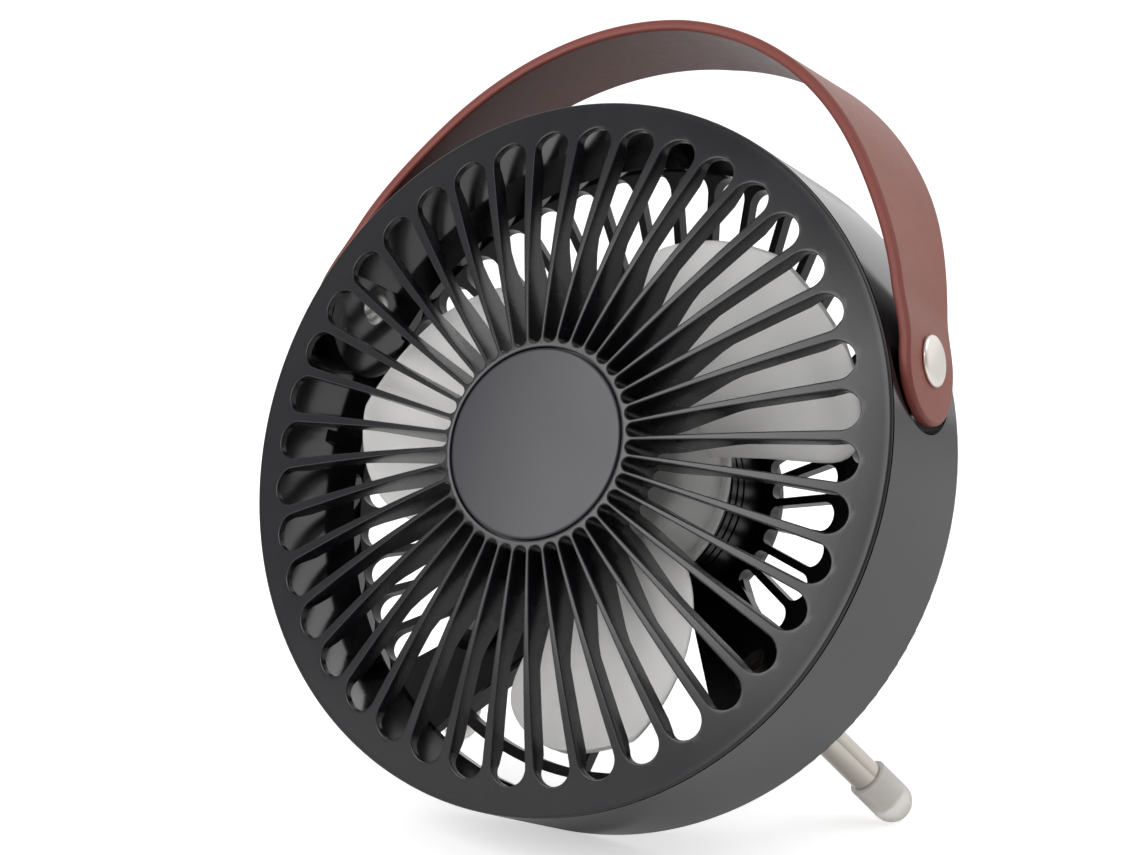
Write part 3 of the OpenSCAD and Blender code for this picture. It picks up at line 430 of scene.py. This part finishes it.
def blade():
    """Loops from root to tip at radius r: the chord runs by u from the leading to the trailing
    edge, on a cylinder of radius R pitched by p, z = m + sqrt(R^2 - (y - R sin p)^2) - R cos p. The
    two faces stand off it by T/2 sqrt(1 - (2u - 1)^14), which rounds the edges. With t from root
    to tip, both edges widen by 0.86 + 0.14 t, the leading one sweeps back by 0.9 t^2, and the
    trailing one turns in at the tip by 0.62 t^11.3."""
    even = np.linspace(0, 0.8, 20)
    rounding = 1 - 0.2 * np.cos(np.linspace(0, math.pi / 2, 18))[1:]
    t = np.concatenate([even, rounding])
    r = ROOT_R + (TIP_R - ROOT_R) * t
    widen = 0.86 + 0.14 * t
    lead = np.radians(LEAD * widen * (1 - 0.9 * t**2))
    trail = np.radians(TRAIL * widen * (1 - 0.62 * t**11.3))
    u = 0.5 - 0.5 * np.cos(np.linspace(0, math.pi, 33))
    angle = lead[:, None] - (trail + lead)[:, None] * u
    x, y = r[:, None] * np.cos(angle), r[:, None] * np.sin(angle)
    hollow = np.sqrt(CAMBER_R**2 - (y - CAMBER_R * math.sin(PITCH)) ** 2)
    middle = np.stack([x, y, BLADE_MID + hollow - CAMBER_R * math.cos(PITCH)], -1)
    normal = np.cross(np.gradient(middle, axis=0), np.gradient(middle, axis=1))
    normal /= np.linalg.norm(normal, axis=-1, keepdims=True)
    tip = np.sqrt(1 - np.clip((t - 1 + TIP_ROUND) / TIP_ROUND, 0, 1) ** 2)
    edges = np.sqrt(np.clip(1 - np.abs(2 * u - 1) ** 14, 0, 1))
    offset = normal * (BLADE_T / 2 * edges * tip[:, None])[..., None]
    loop = np.concatenate([middle - offset, (middle + offset)[:, -2:0:-1]], 1)
    root = np.broadcast_to(loop[:1].mean(1, keepdims=True), loop[:1].shape)
    end = 0.5 * (loop[-1:] + loop[-1:, (-np.arange(loop.shape[1])) % loop.shape[1]])
    return np.concatenate([root, loop, end])


def hub_cup():
    """Profile (r, z): the cup's face, its wall with a flange at the rear, its inside and boss."""
    flange = CUP_REAR + FLANGE_T
    inside, boss = CUP_FRONT - CUP_FACE_T, CUP_FRONT - BOSS_T
    return [
        (BORE_R, CUP_FRONT), (CUP_R - 1.4, CUP_FRONT), (CUP_R - 0.4, CUP_FRONT - 0.35),
        (CUP_R, CUP_FRONT - 1.2), (CUP_R, flange + BEVEL), (CUP_R + BEVEL, flange),
        (FLANGE_R - BEVEL, flange), (FLANGE_R, flange - BEVEL), (FLANGE_R, CUP_REAR + BEVEL),
        (FLANGE_R - BEVEL, CUP_REAR), (CAN_R + 0.5, CUP_REAR), (CAN_R, CUP_REAR + BEVEL),
        (CAN_R, inside), (BOSS_R, inside), (BOSS_R, boss), (BORE_R, boss),
    ]


def frosted():
    """Natural polypropylene from an etched mould: it glows with the light behind it, and its milk
    and its frost keep the ribs of the cover from showing through."""
    material, tree, shader, at = surface("polypropylene_frosted")
    tint = add(tree, "ShaderNodeMixRGB", {
        "Fac": noise(tree, at, 16.7, 2), "Color1": colour("fffefc"), "Color2": colour("faf9f7"),
    })
    tree.links.new(tint.outputs["Color"], shader.inputs["Base Color"])
    tree.links.new(relief(tree, noise(tree, at, 0.45, 2), 0.01), shader.inputs["Normal"])
    shader.inputs["Roughness"].default_value = 0.38
    shader.inputs["IOR"].default_value = 1.49
    shader.inputs["Transmission Weight"].default_value = 0.35
    return material


wheel = [lathe(hub_cup(), closed=True), (turned(blade(), BLADE_ANGLES), False, True)]
put(skin("impeller_moulding", wheel), frosted(), "rotor", "blade", "impeller")

# --- Handle strap ---------------------------------------------------------------------
# Strap of red-brown split leather with a smooth face and painted, slightly rounded edges.
# It is punched at its round ends, riveted to the barrel and springs into an arch.

LEAN_BACK = math.radians(5.5)  # of the strap's plane, from the fan's
PIVOT = np.array([0, 33.5, -17])
SPLAY = math.radians(12)  # lean of the tails out from the barrel
TAIL = 1.5  # the strap's round end has its centre this far below the rivet
TAIL_WAY = np.array([-math.sin(SPLAY), math.cos(SPLAY)])
RIVET_X = 78.72  # the underside at the rivet, from the middle
TAIL_LINE = 18.0  # length of the straight part of the guide line below the rivet
BOW_X, BOW_UP, BOW_DROP = 78.2, 91.65, 17.0  # half axes of the bow's ellipse, and its middle
BOW_START = math.radians(20)
PULL = 15.0  # how far the cubic between tail and bow keeps to their directions
END_R, TOP_HALF = 13.3, 15.0  # radius of the round ends, and half the width at the top
STRAP_T, STRAP_EDGE = 2.8, 0.9  # thickness, and radius of the rounded edges
TOP_BACK = 5.0  # the strap's middle lies this far back at the top


def arch():
    """Guide line of the right half, on the strap's underside: the straight tail, a cubic from the
    rivet, and the ellipse (BOW_X cos t, BOW_UP sin t - BOW_DROP) from t = BOW_START to the top.
    Gives lengths from the rivet and points (x, up)."""
    t = np.linspace(BOW_START, math.pi / 2, 90)
    bow = np.stack([BOW_X * np.cos(t), BOW_UP * np.sin(t) - BOW_DROP], -1)
    slope = np.array([-BOW_X * math.sin(BOW_START), BOW_UP * math.cos(BOW_START)])
    slope *= PULL / np.linalg.norm(slope)
    rivet, rise = np.array([RIVET_X, 0]), PULL * TAIL_WAY
    k = np.linspace(0, 1, 24)[1:-1, None]
    join = (
        (2 * k**3 - 3 * k**2 + 1) * rivet + (k**3 - 2 * k**2 + k) * rise
        + (3 * k**2 - 2 * k**3) * bow[0] + (k**3 - k**2) * slope
    )
    line = np.concatenate([[rivet - TAIL_LINE * TAIL_WAY], [rivet], join, bow])
    steps = np.linalg.norm(np.diff(line, axis=0), axis=1)
    return np.concatenate([[0], np.cumsum(steps)]) - TAIL_LINE, line


def ease(t):
    """Cosine step from 0 at t = 0 to 1 at t = 1."""
    return 0.5 - 0.5 * np.cos(np.pi * np.clip(t, 0, 1))


def flat_outline(top):
    """Outline of the flat strap, a stadium that widens to its middle: at each place the length
    from the right rivet, the half width, and the way inwards. Top is half the strap's length."""
    end = np.linspace(0, math.pi / 2, 14)
    share = np.linspace(0, 1, 110)[1:]
    straight = -TAIL + (top + TAIL) * share
    length = np.concatenate([-TAIL - END_R * np.cos(end), straight])
    width = END_R + (TOP_HALF - END_R) * ease(straight / top)
    half = np.concatenate([END_R * np.sin(end), width])
    way = np.tile([0.0, -1.0], (len(straight), 1))
    inward = np.concatenate([np.stack([np.cos(end), -np.sin(end)], -1), way])
    return (
        np.concatenate([length, 2 * top - length[-2::-1]]),
        np.concatenate([half, half[-2::-1]]),
        np.concatenate([inward, inward[-2::-1] * [-1, 1]]),
    )


def strap():
    """Loops of underside, edge, face and edge at each place of the outline: an edge row lies
    inwards by e (1 - cos b) and e (1 - sin b) deep. Also gives each point's finish: 0 for the
    underside, 0.5 for the edges and 1 for the face."""
    lengths, line = arch()
    slopes = np.gradient(line, lengths, axis=0)
    top = lengths[-1]

    def bent(s, w, h):
        """Lays (length, width, height) on the arch. The strap twists by some 9 degrees above the
        rivet, keeps 3 of them at the top, and drifts back by TOP_BACK."""
        q = np.minimum(s, 2 * top - s)
        x, up = np.interp(q, lengths, line[:, 0]), np.interp(q, lengths, line[:, 1])
        run, climb = np.interp(q, lengths, slopes[:, 0]), np.interp(q, lengths, slopes[:, 1])
        size = np.hypot(run, climb)
        share = ease((q - 10) / (top - 10))
        twist = np.radians(3 * share + 9.3 * (ease((q - 4) / 45) - ease((q - 35) / 100)))
        across = w - TOP_BACK * share
        off, fore = h - across * np.sin(twist), across * np.cos(twist)
        x, up = x + climb / size * off, up - run / size * off
        side = np.where(s > top, -1.0, 1.0)
        y = up * math.cos(LEAN_BACK) + fore * math.sin(LEAN_BACK)
        z = -up * math.sin(LEAN_BACK) + fore * math.cos(LEAN_BACK)
        return np.stack([side * x, y, z], -1) + PIVOT

    across = np.concatenate([[-1], np.linspace(-0.985, 0.985, 13), [1]])
    bend = [
        (STRAP_EDGE * (1 - math.cos(b)), STRAP_EDGE * (1 - math.sin(b)))
        for b in np.linspace(0, math.pi / 2, 5)
    ]
    rows = [(STRAP_EDGE, v, 0.0, 0.0) for v in across]
    rows += [(inset, 1, depth, 0.5) for inset, depth in bend[::-1][1:]]
    rows += [(inset, 1, STRAP_T - depth, 0.5) for inset, depth in bend]
    rows += [(STRAP_EDGE, v, STRAP_T, 1.0) for v in across[::-1][1:]]
    rows += [(inset, -1, STRAP_T - depth, 0.5) for inset, depth in bend[::-1][1:]]
    rows += [(inset, -1, depth, 0.5) for inset, depth in bend[:-1]]
    length, half, inward = flat_outline(top)
    grid = np.stack([
        bent(length + inward[:, 0] * inset, (half + inward[:, 1] * inset) * v, h)
        for inset, v, h, _ in rows
    ], 1)
    return grid, np.broadcast_to([finish for *_, finish in rows], grid.shape[:2])


def leather():
    """Dyed split leather: a warm, slightly dusty face with fine pores and no hard highlight, a
    redder painted edge, and a dark underside."""
    material, tree, shader, at = surface("leather_red_brown")
    finish = add(tree, "ShaderNodeAttribute", attribute_name="finish")
    dye = add(tree, "ShaderNodeValToRGB", {"Fac": finish.outputs["Fac"]})
    dye.color_ramp.elements[0].color = colour("511f18")
    dye.color_ramp.elements[1].color = colour("8c5246")
    dye.color_ramp.elements.new(0.5).color = colour("763d36")
    shade = spread(tree, noise(tree, at, 22.2, 3), 0.86, 1.12)
    dyed = add(
        tree, "ShaderNodeVectorMath", {0: dye.outputs["Color"], "Scale": shade}, operation="SCALE"
    )
    pores = add(tree, "ShaderNodeTexVoronoi", {"Vector": at, "Scale": 1400})
    hide = noise(tree, at, 2.38, 4)
    height = add(
        tree, "ShaderNodeMath", {0: pores.outputs["Distance"], 1: hide}, operation="ADD"
    )
    tree.links.new(dyed.outputs["Vector"], shader.inputs["Base Color"])
    tree.links.new(spread(tree, hide, 0.34, 0.46), shader.inputs["Roughness"])
    tree.links.new(relief(tree, height.outputs["Value"], 0.01, 0.6), shader.inputs["Normal"])
    shader.inputs["Specular IOR Level"].default_value = 0.25
    return material


strip, finishes = strap()
piece = skin("strap_leather", [(strip, False, True)], finishes)
put(piece, leather(), "handle", "strap", "handle_strap")

# --- Rivets ---------------------------------------------------------------------------
# Two-part tubular rivets, closed in a press: a low domed head of satin nickel outside the
# strap, and a bright domed cap inside the barrel. A zinc-plated washer spaces the strap.

HEAD_R, HEAD_H, SHANK_R, SHANK_L = 6.0, 1.56, 2.5, 4.5
HEAD_OUT = 2.9  # the heads' seat, from the strap's underside

# Satin nickel: a warm white metal, evenly bright without mirroring
nickel = metal("nickel_satin", "ebe6df", (0.28, 0.36), grain_mm=0.15, relief_mm=0.003)
# Bright chrome, handled and wiped: light but slightly smeared reflections
chrome = metal("chrome_bright", "f4f3f0", (0.34, 0.48), grain_mm=1.2, relief_mm=0.012)
head = [
    (0, -SHANK_L), (SHANK_R, -SHANK_L), (SHANK_R, -0.05), (HEAD_R - 0.4, -0.05),
    (HEAD_R - 0.05, 0.1), (HEAD_R, 0.45), (HEAD_R - 0.15, 0.8), (HEAD_R - 0.6, 1.1),
    (4, 1.38), (2, 1.52), (0, HEAD_H),
]
strap_up = np.array([0, math.cos(LEAN_BACK), -math.sin(LEAN_BACK)])
for side, word in ((1, "right"), (-1, "left")):
    out = np.array([side * math.cos(SPLAY), 0, 0]) + math.sin(SPLAY) * strap_up
    seat = PIVOT + [side * RIVET_X, 0, 0] + HEAD_OUT * out
    piece = skin("rivet_head_" + word, [lathe(head, seat, out)])
    put(piece, nickel, "body", "nickel", "rivet_" + word)
dress(chrome, "rivet_cap_left", "rivet_cap_right")
dress(zinc, "strap_washer_left", "strap_washer_right")

# --- Legs and feet --------------------------------------------------------------------
# Polished stainless tubes pressed and grub-screwed into the cover's collars, each with a
# push-on cap of translucent silicone that stands on the floor.

# Polished stainless: sharp dark and light stripes along the tube
steel = metal("stainless_polished", "c9c3ba", (0.04, 0.08), grain_mm=0.8, relief_mm=0.0005)


def silicone():
    """Translucent silicone with a dusty bloom: soft, pale and a little see-through at its rim."""
    material, tree, shader, at = surface("silicone_translucent")
    tree.links.new(spread(tree, noise(tree, at, 2, 3), 0.5, 0.62), shader.inputs["Roughness"])
    shader.inputs["Base Color"].default_value = colour("f1eeea")
    shader.inputs["IOR"].default_value = 1.41
    shader.inputs["Transmission Weight"].default_value = 0.6
    shader.inputs["Subsurface Weight"].default_value = 0.3
    shader.inputs["Subsurface Radius"].default_value = (0.003, 0.003, 0.003)
    return material


dress(steel, "leg_left", "leg_right")
dress(silicone(), "foot_left", "foot_right")

# --- Stage ----------------------------------------------------------------------------
# White studio: a paper floor that keeps the fan's shadow, a bright surround that falls off
# towards the camera, and two soft lamps. The camera looks at the fan's right-hand front.

MIDDLE = Vector((0, 0, 0.1))  # of the fan in m, where the lamps point
FLOOR_HALF = 9.0  # half the floor's width in m
FLOOR_LIFT = 0.5  # light added to the paper where the camera sees it, so that it reads as white
EYE, AIM = [378.25, -84.7, 602.1], [1.54, 6.32, 0.0]  # in the fan's frame


def looked_at(tree):
    """1 for rays that come from the camera, also through a clear piece, and 0 for others."""
    path = add(tree, "ShaderNodeLightPath").outputs
    rays = {0: path["Is Camera Ray"], 1: path["Is Transmission Ray"]}
    return add(tree, "ShaderNodeMath", rays, operation="MAXIMUM").outputs["Value"]


def paper():
    """White paper: matt, and lifted for the camera so that only the shadow tells it from the
    background."""
    material, tree, shader, _ = surface("paper_white")
    shader.inputs["Base Color"].default_value = colour("f2f2f2")
    shader.inputs["Roughness"].default_value = 0.8
    lift = add(
        tree, "ShaderNodeMath", {0: looked_at(tree), 1: FLOOR_LIFT}, operation="MULTIPLY"
    )
    glow = add(
        tree, "ShaderNodeEmission", {"Color": (1, 1, 1, 1), "Strength": lift.outputs["Value"]}
    )
    both = add(
        tree, "ShaderNodeAddShader", {0: shader.outputs["BSDF"], 1: glow.outputs["Emission"]}
    )
    tree.links.new(both.outputs["Shader"], tree.nodes["Material Output"].inputs["Surface"])
    return material


def studio():
    """White surround: the camera sees it at strength 1, and it lights the fan with 0.4 from the
    front to 1 from behind."""
    world = bpy.data.worlds.new("studio")
    world.use_nodes = True
    tree = world.node_tree
    way = add(tree, "ShaderNodeTexCoord").outputs["Generated"]
    depth = add(tree, "ShaderNodeSeparateXYZ", {"Vector": way}).outputs["Y"]
    sky = tree.nodes["Background"]
    sky.inputs["Color"].default_value = (1, 1, 1, 1)
    tree.links.new(spread(tree, depth, 0.4, 1.0, start=-0.3, end=0.6), sky.inputs["Strength"])
    white = add(tree, "ShaderNodeBackground", {"Color": (1, 1, 1, 1), "Strength": 1.0})
    mix = add(tree, "ShaderNodeMixShader", {
        0: looked_at(tree), 1: sky.outputs["Background"], 2: white.outputs["Background"],
    })
    tree.links.new(mix.outputs["Shader"], tree.nodes["World Output"].inputs["Surface"])
    return world


def panel(name, place, size, power):
    """A soft square lamp at a place, turned to the middle of the fan."""
    light = bpy.data.lights.new(name, "AREA")
    light.size, light.energy = size, power
    lamp = bpy.data.objects.new(name, light)
    lamp.location = place
    lamp.rotation_mode = "QUATERNION"
    lamp.rotation_quaternion = (MIDDLE - Vector(place)).to_track_quat("-Z", "Y")
    bpy.context.scene.collection.objects.link(lamp)


scene = bpy.context.scene
scene.view_settings.view_transform = "Standard"
scene.world = studio()
corners = [(x * FLOOR_HALF, y * FLOOR_HALF, 0) for x, y in ((-1, -1), (1, -1), (1, 1), (-1, 1))]
floor = bpy.data.objects.new("floor", bpy.data.meshes.new("floor"))
floor.data.from_pydata(corners, [], [(0, 1, 2, 3)])
floor.data.materials.append(paper())
scene.collection.objects.link(floor)
panel("panel_front", (-0.4, -1.25, 0.8), 1.1, 17)
panel("panel_top", (0.6, 0.2, 1.3), 1.0, 4)

lens = bpy.data.cameras.new("camera")
lens.lens, lens.sensor_width = 97.1, 36
camera = bpy.data.objects.new("camera", lens)
scene.collection.objects.link(camera)
scene.camera = camera
eye, aim = Vector(stand(EYE).tolist()), Vector(stand(AIM).tolist())
camera.location = eye
camera.rotation_mode = "QUATERNION"
camera.rotation_quaternion = (aim - eye).to_track_quat("-Z", "Y")
